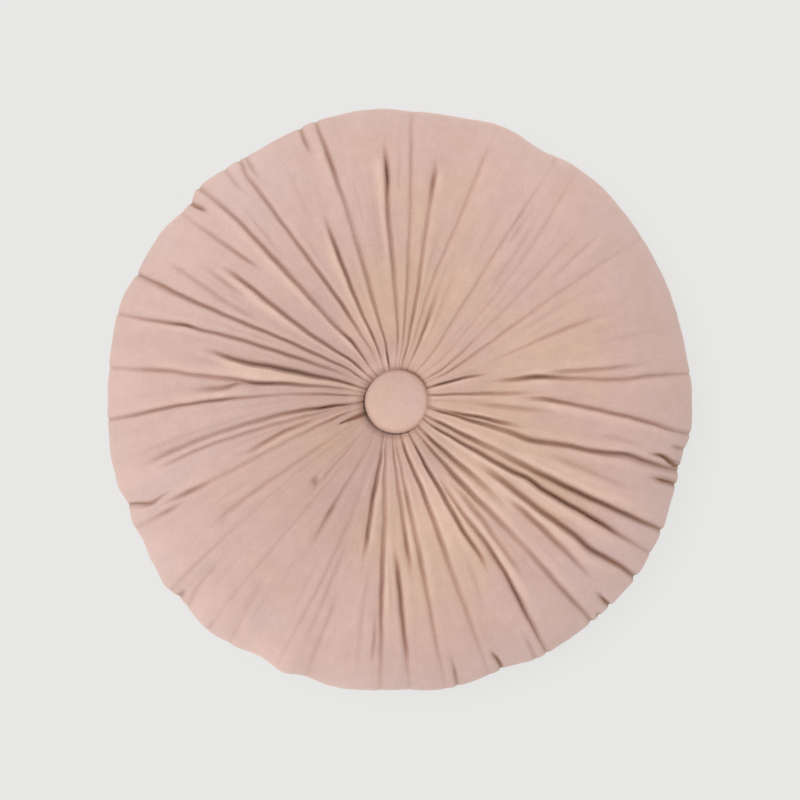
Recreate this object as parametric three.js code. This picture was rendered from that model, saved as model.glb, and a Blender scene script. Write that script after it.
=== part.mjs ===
import * as THREE from 'three';

// A round pleated cushion, lying on its back, in millimetres with +Z up.
// Its cover is one strip of cloth, gathered into a covered button in the middle of each side.
// Angles are in degrees, anticlockwise from +X, and folds are measured from the gather point.

// Driving sizes
const gatherAt = { x: 0.3, y: 3.1 };     // where the folds of the face run together
const buttonAt = { x: -2.4, y: -1.9 };   // the buttons are tied down a little off that point
const seatRadius = 21;                   // the flat spot under a button
const nominalRim = 199;                  // the reach of the section's own sizes
const foldStep = 1.15;                   // depth of a fold for each step of its strength
const foldWidth = 2.6;                   // half width of a fold's valley
const foldFade = 16;                     // length over which a fold dies out
const puff = 0.05;                       // rise of the cloth between two folds, for its width
const puffLimit = 2.4;
const rimShare = 0.45;                   // share of the relief that is left at the rim
const backStrength = 2.6;                // strength of the gathers round the back button
const backGatherReach = 78;              // how far out those gathers run
const footReach = 152;                   // the floor side is flat inside this reach

// Section from the face button's seat, over the crown and the rim, to the back button's seat.
// out: share of the way from the seat's edge to the rim. up: height above the floor,
// where less than nothing is pressed flat on it.
const faceSection = [
  { out: 0, up: 60 },
  { out: 0.014, up: 63 },
  { out: 0.05, up: 69.5 },
  { out: 0.11, up: 77.5 },
  { out: 0.2, up: 87 },
  { out: 0.32, up: 95.5 },
  { out: 0.46, up: 100 },
  { out: 0.61, up: 98 },
  { out: 0.76, up: 89 },
  { out: 0.88, up: 75 },
  { out: 0.965, up: 58 },
  { out: 1, up: 42 },
];
const backSection = [
  { out: 0.98, up: 26 },
  { out: 0.91, up: 11 },
  { out: 0.81, up: 2 },
  { out: 0.71, up: -2 },
  { out: 0.5, up: -3 },
  { out: 0.33, up: -1 },
  { out: 0.22, up: 5 },
  { out: 0.12, up: 15 },
  { out: 0.05, up: 24 },
  { out: 0.014, up: 28 },
  { out: 0, up: 31 },
];

// The rim's uneven outline, seen from above: its reach from the gather point at each turn
const rim = [
  { turn: 0, reach: 200 }, { turn: 10, reach: 198 }, { turn: 34, reach: 197.7 },
  { turn: 46, reach: 198.3 }, { turn: 53, reach: 197.5 }, { turn: 60, reach: 193.5 },
  { turn: 69, reach: 196.6 }, { turn: 80, reach: 193.6 }, { turn: 87, reach: 194.2 },
  { turn: 96, reach: 196.8 }, { turn: 108, reach: 197.3 }, { turn: 121, reach: 195 },
  { turn: 134.5, reach: 199.5 }, { turn: 138, reach: 195.5 }, { turn: 147, reach: 199.4 },
  { turn: 154, reach: 198.6 }, { turn: 161, reach: 202.3 }, { turn: 175, reach: 200.6 },
  { turn: 181, reach: 201 }, { turn: 185, reach: 199.4 }, { turn: 193, reach: 202.2 },
  { turn: 200, reach: 201.3 }, { turn: 206, reach: 203 }, { turn: 209, reach: 201.2 },
  { turn: 214, reach: 203.4 }, { turn: 218.5, reach: 207.3 }, { turn: 224, reach: 205 },
  { turn: 231, reach: 207.5 }, { turn: 236, reach: 205.5 }, { turn: 241, reach: 200.7 },
  { turn: 247, reach: 205.5 }, { turn: 251, reach: 202.4 }, { turn: 257, reach: 204.8 },
  { turn: 270, reach: 201.7 }, { turn: 278, reach: 203.4 }, { turn: 291, reach: 200.7 },
  { turn: 298, reach: 204.1 }, { turn: 321, reach: 204 }, { turn: 331, reach: 202.4 },
  { turn: 340, reach: 198.8 }, { turn: 347, reach: 196.8 }, { turn: 354, reach: 200.9 },
];

// The folds of the face, one row each, in order round the cushion.
// a, b, c, d: the fold's turn at the four reaches below. from, to: where it starts and ends.
// strength: 1 a faint crease, 5 a deep one.
const foldReaches = [38, 75, 125, 190];
const folds = [
  { a: 1.2, b: 1, c: 0.3, d: -0.5, from: 24, to: 95, strength: 4 },
  { a: 8, b: 8.2, c: 5.2, d: 4.3, from: 60, to: 197, strength: 4 },
  { a: 15.5, b: 13, c: 11.3, d: 10, from: 28, to: 100, strength: 3 },
  { a: 18, b: 19.7, c: 21.9, d: 20, from: 58, to: 146, strength: 3 },
  { a: 25.5, b: 30, c: 32.7, d: 33.5, from: 30, to: 196, strength: 2 },
  { a: 31.5, b: 37, c: 41.2, d: 43, from: 30, to: 165, strength: 2.5 },
  { a: 40.5, b: 45.3, c: 47.6, d: 52, from: 34, to: 190, strength: 2 },
  { a: 52.5, b: 55.3, c: 56.3, d: 56.8, from: 28, to: 195, strength: 2.5 },
  { a: 70.5, b: 70.2, c: 68.5, d: 67, from: 34, to: 90, strength: 4 },
  { a: 76.5, b: 75, c: 71.7, d: 70.2, from: 38, to: 186, strength: 2.5 },
  { a: 82, b: 80.7, c: 81.4, d: 81.5, from: 26, to: 170, strength: 4 },
  { a: 87.5, b: 86.5, c: 86.9, d: 87.8, from: 38, to: 194, strength: 3 },
  { a: 93.3, b: 93, c: 94.2, d: 93, from: 36, to: 180, strength: 4 },
  { a: 106.2, b: 106.3, c: 106, d: 107.6, from: 25, to: 197, strength: 4 },
  { a: 116, b: 115.2, c: 113.3, d: 112, from: 33, to: 130, strength: 5 },
  { a: 123, b: 123, c: 124.3, d: 125.4, from: 36, to: 198, strength: 4 },
  { a: 134, b: 133.4, c: 132.8, d: 134, from: 34, to: 200, strength: 5 },
  { a: 139, b: 138, c: 137.6, d: 138.6, from: 128, to: 200, strength: 4 },
  { a: 145.2, b: 146.2, c: 144.3, d: 143.5, from: 30, to: 152, strength: 5 },
  { a: 153.4, b: 154.3, c: 155.7, d: 155.5, from: 28, to: 200, strength: 4.5 },
  { a: 159.5, b: 160.3, c: 161.4, d: 164.3, from: 40, to: 202, strength: 4 },
  { a: 166.5, b: 168, c: 166.7, d: 167, from: 30, to: 140, strength: 5 },
  { a: 173.3, b: 174, c: 174.6, d: 175, from: 34, to: 190, strength: 4 },
  { a: 179, b: 179.6, c: 181.6, d: 184.6, from: 30, to: 201, strength: 4 },
  { a: 188.5, b: 189, c: 192, d: 195.5, from: 30, to: 176, strength: 4 },
  { a: 194, b: 197.3, c: 200.5, d: 202, from: 50, to: 201, strength: 3.5 },
  { a: 199, b: 202.3, c: 204.2, d: 206.5, from: 33, to: 198, strength: 3.5 },
  { a: 207, b: 207.6, c: 208.8, d: 211, from: 28, to: 70, strength: 4 },
  { a: 212.5, b: 213, c: 213.8, d: 216, from: 45, to: 148, strength: 3 },
  { a: 217.5, b: 217.2, c: 218.5, d: 219.9, from: 32, to: 203, strength: 2 },
  { a: 226, b: 226.8, c: 227, d: 227.5, from: 30, to: 88, strength: 3.5 },
  { a: 230.8, b: 230.5, c: 230.3, d: 232, from: 55, to: 200, strength: 1.5 },
  { a: 239.5, b: 238.4, c: 239.8, d: 240.5, from: 32, to: 120, strength: 3.5 },
  { a: 246.8, b: 247.2, c: 247.3, d: 245, from: 40, to: 200, strength: 2.5 },
  { a: 251, b: 252, c: 252.8, d: 251, from: 60, to: 197, strength: 2 },
  { a: 253, b: 255.7, c: 258, d: 258.6, from: 30, to: 110, strength: 5 },
  { a: 257.3, b: 262.4, c: 264.2, d: 265.6, from: 32, to: 201, strength: 4 },
  { a: 261.5, b: 266.5, c: 269.4, d: 271.5, from: 100, to: 188, strength: 5 },
  { a: 265.5, b: 270.8, c: 273.5, d: 274.6, from: 34, to: 125, strength: 3.5 },
  { a: 270, b: 275.2, c: 277.9, d: 279.4, from: 34, to: 200, strength: 3.5 },
  { a: 277.3, b: 284.3, c: 286.3, d: 288.3, from: 30, to: 200, strength: 4.5 },
  { a: 286, b: 292.2, c: 295.8, d: 295.6, from: 32, to: 131, strength: 5 },
  { a: 291.5, b: 296.9, c: 299.8, d: 299, from: 45, to: 196, strength: 5 },
  { a: 295.5, b: 301.5, c: 303.7, d: 304, from: 60, to: 146, strength: 3.5 },
  { a: 300, b: 305.8, c: 309, d: 310.1, from: 34, to: 203, strength: 4 },
  { a: 307, b: 311.5, c: 313.3, d: 313, from: 31, to: 98, strength: 4 },
  { a: 313, b: 315.8, c: 317, d: 316, from: 90, to: 188, strength: 4 },
  { a: 316.5, b: 319.8, c: 320.8, d: 322.2, from: 60, to: 203, strength: 5 },
  { a: 320.5, b: 324.6, c: 326.6, d: 327.2, from: 30, to: 179, strength: 5 },
  { a: 327, b: 330, c: 331.2, d: 332.5, from: 36, to: 202, strength: 5 },
  { a: 334, b: 336.6, c: 338, d: 340.5, from: 108, to: 199, strength: 3 },
  { a: 338.5, b: 341.4, c: 343.6, d: 344.6, from: 28, to: 194, strength: 5 },
  { a: 343, b: 345.6, c: 347.8, d: 347.8, from: 34, to: 198, strength: 3.5 },
  { a: 356, b: 357.4, c: 355.6, d: 352.2, from: 80, to: 201, strength: 3.5 },
];

// A covered button: half its section, from the tie's side to the crown
const buttonRadius = 22.3;
const buttonFlat = 20;          // radius of its flat underside
const buttonEdge = 2.9;         // height of its widest turn
const buttonHeight = 8.8;
const buttonTurns = 56;
const buttonDomeSteps = 8;
const clearance = 0.3;          // between a button and the cloth under it

const velvet = new THREE.MeshStandardMaterial({ color: 0xd4b3a8, roughness: 0.92, metalness: 0 });
const buttonVelvet = new THREE.MeshStandardMaterial({ color: 0xd5b4a7, roughness: 0.9, metalness: 0 });

const toRadians = THREE.MathUtils.degToRad;
const smooth = THREE.MathUtils.smoothstep;
const lerp = THREE.MathUtils.lerp;

// Reach of the outline at a turn, easing from one row of the rim table to the next
function rimReach(turn) {
  const at = THREE.MathUtils.euclideanModulo(turn, 360);
  let next = rim.findIndex((row) => row.turn > at);
  if (next < 0) next = 0;
  const before = rim[(next + rim.length - 1) % rim.length];
  const after = rim[next];
  const span = THREE.MathUtils.euclideanModulo(after.turn - before.turn, 360);
  const share = THREE.MathUtils.euclideanModulo(at - before.turn, 360) / span;
  return lerp(before.reach, after.reach, smooth(share, 0, 1));
}

// Distance from the gather point to the edge of the button's seat, which is round its own centre
function seatReach(turn) {
  const dx = buttonAt.x - gatherAt.x;
  const dy = buttonAt.y - gatherAt.y;
  const along = dx * Math.cos(toRadians(turn)) + dy * Math.sin(toRadians(turn));
  const across = dx * dx + dy * dy - along * along;
  return along + Math.sqrt(seatRadius * seatRadius - across);
}

// Turn of a fold at a reach
function foldTurn(fold, reach) {
  const turns = [fold.a, fold.b, fold.c, fold.d];
  const last = foldReaches.length - 1;
  if (reach <= foldReaches[0]) return turns[0];
  if (reach >= foldReaches[last]) return turns[last];
  const i = foldReaches.findIndex((value) => value > reach) - 1;
  const share = Math.log(reach / foldReaches[i]) / Math.log(foldReaches[i + 1] / foldReaches[i]);
  return lerp(turns[i], turns[i + 1], share);
}

// Depth of a fold along the face, and how it goes on under the rim and at the back button
function foldDepth(fold, reach, isBack) {
  const depth = fold.strength * foldStep;
  const overRim = smooth(fold.to, 180, 196);
  if (isBack) {
    const underRim = overRim * smooth(reach, footReach, 190) * depth;
    const atButton = backStrength * foldStep * smooth(-reach, -backGatherReach, -backGatherReach / 2);
    return Math.max(underRim, atButton);
  }
  const begins = smooth(reach, fold.from - foldFade / 2, fold.from + foldFade / 2);
  const ends = 1 - smooth(reach, fold.to - foldFade, fold.to);
  return depth * begins * Math.max(ends, overRim);
}

// Shares of the way from one fold to the next at which the cloth has its columns of points
function columnShares(gap) {
  const narrow = 3.4;
  if (gap < narrow) return [0, 0.5];
  const shoulder = Math.min(0.32, 2.1 / gap);
  const middle = Math.round((gap - 4.2) / 3.6);
  const shares = [0, shoulder];
  for (let i = 1; i <= middle; i++) {
    shares.push(lerp(shoulder, 1 - shoulder, i / (middle + 1)));
  }
  shares.push(1 - shoulder);
  return shares;
}

// Every column: the folds on its two sides and its share of the way between them
function coverColumns() {
  const columns = [];
  folds.forEach((fold, i) => {
    const next = folds[(i + 1) % folds.length];
    const wrap = i + 1 === folds.length ? 360 : 0;
    const gap = next.c + wrap - fold.c;
    for (const share of columnShares(gap)) columns.push({ fold, next, wrap, share });
  });
  return columns;
}

// How far the cloth stands in or out of the plain section at a point of a column
function relief(column, turn, reach, isBack) {
  let total = 0;
  const sharpness = 3;
  for (const fold of folds) {
    const away = THREE.MathUtils.euclideanModulo(turn - foldTurn(fold, reach) + 180, 360) - 180;
    const across = Math.abs(toRadians(away)) * reach;
    if (across > foldWidth * 6) continue;
    total += (foldDepth(fold, reach, isBack) * Math.exp(-across / foldWidth)) ** sharpness;
  }
  const width = toRadians(foldTurn(column.next, reach) + column.wrap - foldTurn(column.fold, reach)) * reach;
  const rise = Math.min(puffLimit, width * puff) * 4 * column.share * (1 - column.share);
  return rise - total ** (1 / sharpness);
}

// One point of the cover
function coverPoint(column, rings, ringIndex) {
  const ring = rings[ringIndex];
  const before = rings[Math.max(ringIndex - 1, 0)];
  const after = rings[Math.min(ringIndex + 1, rings.length - 1)];
  const isBack = ringIndex >= faceSection.length;
  const nominal = lerp(seatRadius, nominalRim, ring.out);
  const start = foldTurn(column.fold, nominal);
  const turn = lerp(start, foldTurn(column.next, nominal) + column.wrap, column.share);
  const reach = lerp(seatReach(turn), rimReach(turn), ring.out);

  const runOut = (after.out - before.out) * (nominalRim - seatRadius);
  const runUp = after.up - before.up;
  const run = Math.hypot(runOut, runUp);
  const clearOfSeat = smooth(ring.out, 0.014, 0.05);
  const tautRim = lerp(1, rimShare, smooth(reach, 165, 195));
  const stand = relief(column, turn, reach, isBack) * clearOfSeat * tautRim;
  const pointReach = reach - (runUp / run) * stand;
  const up = ring.up + (runOut / run) * stand;
  return new THREE.Vector3(
    gatherAt.x + pointReach * Math.cos(toRadians(turn)),
    gatherAt.y + pointReach * Math.sin(toRadians(turn)),
    Math.max(up, 0),
  );
}

// The filled cover: rings of points from seat to seat, closed by a flat spot under each button
function cushionGeometry() {
  const rings = [...faceSection, ...backSection];
  const columns = coverColumns();
  const points = [];
  rings.forEach((ring, i) => {
    for (const column of columns) points.push(coverPoint(column, rings, i));
  });
  const faceSeat = points.push(new THREE.Vector3(buttonAt.x, buttonAt.y, rings[0].up)) - 1;
  const backSeat = points.push(new THREE.Vector3(buttonAt.x, buttonAt.y, rings.at(-1).up)) - 1;

  const count = columns.length;
  const lastRing = (rings.length - 1) * count;
  const triangles = [];
  for (let j = 0; j < count; j++) {
    const k = (j + 1) % count;
    triangles.push(faceSeat, j, k);
    triangles.push(backSeat, lastRing + k, lastRing + j);
    for (let i = 0; i < rings.length - 1; i++) {
      const inner = i * count;
      const outer = inner + count;
      triangles.push(inner + j, outer + j, outer + k);
      triangles.push(inner + j, outer + k, inner + k);
    }
  }
  const geometry = new THREE.BufferGeometry().setFromPoints(points);
  geometry.setIndex(triangles);
  return geometry;
}

// A covered button, turned round Z, with its flat side down
function buttonGeometry() {
  const profile = [new THREE.Vector2(0, 0), new THREE.Vector2(buttonFlat, 0)];
  for (let i = 0; i <= buttonDomeSteps; i++) {
    const climb = (Math.PI / 2) * (i / buttonDomeSteps);
    const out = i === buttonDomeSteps ? 0 : buttonRadius * Math.cos(climb);
    profile.push(new THREE.Vector2(out, buttonEdge + (buttonHeight - buttonEdge) * Math.sin(climb)));
  }
  return new THREE.LatheGeometry(profile, buttonTurns).rotateX(Math.PI / 2);
}

function makeCushion() {
  const mesh = new THREE.Mesh(cushionGeometry(), velvet);
  mesh.name = 'cushion';
  return mesh;
}

function makeButton(name, height, turnedOver) {
  const mesh = new THREE.Mesh(buttonGeometry(), buttonVelvet);
  mesh.name = name;
  mesh.position.set(buttonAt.x, buttonAt.y, height);
  if (turnedOver) mesh.rotation.x = Math.PI;
  return mesh;
}

const model = new THREE.Group();
model.add(makeCushion());
model.add(makeButton('face_button', faceSection[0].up + clearance, false));
model.add(makeButton('back_button', backSection.at(-1).up - clearance, true));

// The origin is the middle of the whole thing's box, on the floor
const box = new THREE.Box3().setFromObject(model);
model.position.set(-(box.min.x + box.max.x) / 2, -(box.min.y + box.max.y) / 2, -box.min.z);

export default model;
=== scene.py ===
import math

import bpy
import numpy as np
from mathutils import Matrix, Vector


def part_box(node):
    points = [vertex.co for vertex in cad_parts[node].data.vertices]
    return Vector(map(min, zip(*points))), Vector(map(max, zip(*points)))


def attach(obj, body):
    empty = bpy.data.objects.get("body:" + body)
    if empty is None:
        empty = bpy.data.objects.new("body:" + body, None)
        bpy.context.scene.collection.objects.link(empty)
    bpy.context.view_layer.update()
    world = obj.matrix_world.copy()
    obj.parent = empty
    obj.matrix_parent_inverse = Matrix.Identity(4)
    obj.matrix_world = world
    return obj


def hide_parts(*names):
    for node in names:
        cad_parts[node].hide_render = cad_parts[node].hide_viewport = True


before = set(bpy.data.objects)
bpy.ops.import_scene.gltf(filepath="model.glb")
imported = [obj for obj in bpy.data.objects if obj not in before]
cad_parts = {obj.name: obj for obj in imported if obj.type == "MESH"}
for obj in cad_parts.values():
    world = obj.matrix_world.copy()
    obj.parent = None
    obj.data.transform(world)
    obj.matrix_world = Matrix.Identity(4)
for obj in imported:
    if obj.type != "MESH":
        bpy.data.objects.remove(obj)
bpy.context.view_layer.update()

# A round pleated velvet cushion, lying on its back. Shapes are worked out in millimetres and
# put into the mesh in metres, but the node trees' own sizes are in metres. Turns are in degrees,
# anticlockwise from +X, about the gather point
metre = 1000.0
faceLow, faceHigh = (np.array(corner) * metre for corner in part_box("face_button"))
backLow, backHigh = (np.array(corner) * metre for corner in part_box("back_button"))
buttonAt = (faceLow[:2] + faceHigh[:2]) / 2
randomDraw = np.random.default_rng(7)
print("frame loaded, face button at", buttonAt.round(1), "mm")

cover = {
    "gatherFromButton": (3.2, 4.5),  # where the folds run together, from the button's middle
    "seatRadius": 20.5,              # the flat spot under a button
    "seatSlack": 0.8,                # how much wider it is along one slant
    "seatSlant": 50.0,
    "seatShift": (-0.7, -0.6),       # its middle, from the button's
    "seatEnds": 0.012,               # share of the way to the rim at which the folds stand free
    "hug": (1.7, 4.7),               # rise of the cloth beside the button: along and across it
    "hugPlace": (0.02, 0.03),        # middle and width of that rise, in the same share
    "seatShade": (0.95, 0.2),        # how dark the cloth is at either end of the slant
    "shadeFrom": 2.4,                # the middle of that shade, out from the seat's edge
    "shadeWidth": 1.4,
    "nominalRim": 199.0,             # the reach that the section's shares are read at
    "coarseColumn": 0.92,            # turn from one column of the draped mesh to the next
    "crowding": 1.8,                 # how much closer the columns stand beside a fold
    "faceRings": 3,                  # rings of the draped mesh in each span of the section
    "backRings": 2,
    "fineSteps": 2,                  # finer mesh steps in each one of the draped mesh
    "foldStep": 1.0,                 # depth of a fold for each step of its strength
    "darkStep": 0.125,               # painted shade: how dark its crease is for each step
    "slitShare": 0.66,               # share of the depth that is a narrow slit
    "slitWidth": 0.02,               # the slit's half width for its reach, with its limits below
    "slitLimits": (0.78, 1.3),
    "slitEdge": 3.0,                 # how sharply it ends
    "valleyWidth": 0.024,            # the same for the broad valley that the slit lies in
    "valleyLimits": (0.75, 2.5),
    "leanSlack": (1.5, 0.6),         # width of the valley on the low side and on the proud side
    "lipShare": 0.3,                 # height of the cloth that stands proud beside a fold
    "lipWidth": 0.95,                # its distance from the fold, in valley widths
    "lowLip": 0.25,                  # share of that height on the low side
    "evenLip": 0.6,                  # and on both sides of a fold that doesn't lean
    "crossWidth": 1.9,               # width of the creases that run across
    "wander": 0.35,                  # how far a fold strays from its line
    "wanderWaves": (3.1, 7.3, 13.0),
    "lineSmoothing": 6,
    "buttonPull": (-2.6, -0.8),      # how far the folds swerve beside the button, and where
    "pullReaches": (21.0, 44.0),
    "buttonShift": (0.5, 0.5, 0),    # how far the face button has slipped
    "fadeIn": (0.3, 0.9),            # the longest start of a fold, for its start and for its length
    "fadeOut": (14.0, 4.0),          # length over which it dies out, and more for its strength
    "fadePast": 3.0,                 # how far past its end it is gone
    "innerShare": 0.42,              # what is left of a fold between its start and the button
    "innerBelow": 62.0,              # for the folds that start nearer than this
    "gatherTurn": 11.0,              # the widest turn between two gathers at the button
    "gatherStrength": (0.2, 1.0),
    "gatherStart": 12.0,
    "gatherEnds": (30.0, 60.0),
    "faintGap": 5.0,                 # the narrowest gap that faint folds are put into
    "faintStrength": (0.25, 0.7),
    "faintBreadth": 1.2,
    "faintStarts": (50.0, 150.0),
    "faintLengths": (25.0, 70.0),
    "faintLimit": 178.0,
    "faintDrift": 0.12,              # how far they run across the gap, in shares of it
    "faintSkew": (-1.0, -0.4, 0.3, 1.0),
    "puff": (0.2, 0.045),            # rise of the cloth between two folds for its width: hub, rim
    "puffReaches": (24.0, 75.0),
    "puffLimit": 2.4,
    "fullPuff": 1.3,                 # the strength from which a fold parts it fully
    "hubShare": 0.55,                # share of a fold's depth that is left beside the button
    "hubReaches": (30.0, 85.0),
    "rimShare": 0.25,                # share of the relief that is left at the taut rim
    "rimReaches": (168.0, 196.0),
    "nickShare": 0.35,               # the same for the short folds that nick the rim
    "nickReaches": (188.0, 198.0),
    "nickStarts": 150.0,
    "overRim": (180.0, 196.0),       # a fold that ends further out than this runs over the rim
    "footReaches": (152.0, 190.0),   # where it dies out under the rim
    "backStrengths": (0.3, 3.0),     # gathers round the back button
    "backGathers": (45.0, 88.0),
    "ridgeRise": (0.25, 0.8),        # painted highlight: how proud the cloth is where it turns lighter
    "ridgeLoss": 0.6,                # how much of that is lost towards the rim
    "ridgeReaches": (110.0, 190.0),
    "coolRim": 0.55,                 # how much cooler the cloth is towards the rim
    "coolReaches": (120.0, 190.0),
    "wornTo": (0.84, 1.0),           # where the face's colours fade out under the rim
    "looseReaches": (28.0, 60.0),    # where the cloth is loose enough for rumples
    "looseHeights": (2.0, 20.0),
}

# Section from the face button's seat, over the crown and the rim, to the back button's seat:
# share of the way from the seat's edge to the rim, and height, where less than 0 is pressed flat
faceSection = [
    (0, 60), (0.01, 65.2), (0.042, 70.3), (0.11, 77.5), (0.2, 87), (0.32, 95.5),
    (0.46, 100), (0.61, 98), (0.76, 89), (0.88, 75), (0.965, 58), (1, 42),
]
backSection = [
    (0.98, 26), (0.91, 11), (0.81, 2), (0.71, -2), (0.5, -3), (0.33, -1),
    (0.22, 5), (0.12, 15), (0.05, 24), (0.014, 28), (0, 31),
]

# The rim's uneven outline from above: turn and reach
rim = [
    (0, 199.3), (10, 197.2), (34, 197.3), (46, 198.3), (53, 197.4), (60, 193.8), (69, 196.9),
    (80, 194.5), (87, 195), (96, 197.2), (106, 197), (113, 195.3), (121, 194.4), (126, 196.2),
    (134.5, 199), (138, 195.5), (147, 198.9), (154, 198.9), (161, 202.1), (166, 202), (175, 200.6),
    (181, 200.8), (186, 201.8), (193, 203.4), (198, 203.4), (202, 201.6), (206, 203.7), (209, 202.6),
    (214, 205.3), (219, 208), (223, 205.4), (230.5, 208.6), (236, 206.3), (241, 203.2), (247, 206.3),
    (251, 203.5), (257, 204.9), (270, 201.7), (278, 203.3), (291, 199.8), (298, 203), (302, 202.6),
    (321, 203.4), (331, 201.8), (340, 198.6), (347, 196.8), (354, 200.3),
]

# The folds in order round the cushion, with each one's turns and strengths at these four reaches.
# A strength of 0.3 hardly shows and 9.5 is nearly black, and a single one holds at all four.
# Breadth widens the fold, and lean is the side that stands proud: 1 the anticlockwise one, -1 the
# clockwise one, 0 both a little
foldReaches = (38, 75, 125, 190)
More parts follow.
